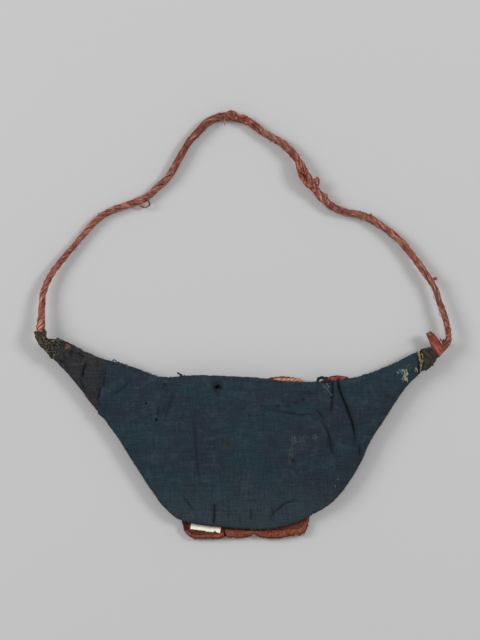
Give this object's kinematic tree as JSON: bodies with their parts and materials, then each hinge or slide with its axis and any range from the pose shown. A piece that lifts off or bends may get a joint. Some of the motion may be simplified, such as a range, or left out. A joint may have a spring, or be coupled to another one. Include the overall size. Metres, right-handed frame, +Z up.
{
  "type": "betel nut bag",
  "caption": "Crescent-shaped cloth betel nut bag lying on its front, with an open-mouthed indigo pouch, a bound red flap under it and a twisted cloth strap joining its arm tips.",
  "frame": {"origin": "on the table, under the middle of the bag's outline without its strap", "axes": "+X along the bag from its left arm to its right arm, +Y from the belly to the strap, +Z up"},
  "size_m": [0.3549, 0.3633, 0.0186],
  "materials": {
    "indigo_cloth": "plain-woven indigo cloth, worn and matt",
    "grey_cloth": "dark grey plain-woven cloth, worn and matt",
    "front_cloth": "dark plain-woven cloth, matt",
    "red_cloth": "faded red cloth, rolled and felted by wear",
    "madder_cloth": "faded brownish red cloth, matt",
    "white_cloth": "cream-white cotton tape, blank",
    "olive_yarn": "dark olive yarn, wound and knotted",
    "dark_wrap": "dark brown-grey cloth wrap with pale stitches",
    "strap_cloth": "faded red-brown cloth, twisted and frayed",
    "dark_yarn": "dark purple yarn"
  },
  "bodies": {
    "root": {"back_panel": "indigo_cloth", "left_arm_panel": "grey_cloth", "front_panel": "front_cloth", "flap_binding": "red_cloth", "flap_ground": "madder_cloth", "flap_label": "white_cloth", "left_tie": "olive_yarn", "right_wrap": "dark_wrap", "strap": "strap_cloth", "strap_tail": "strap_cloth", "mouth_loop": "dark_yarn"}
  },
  "joints": []
}
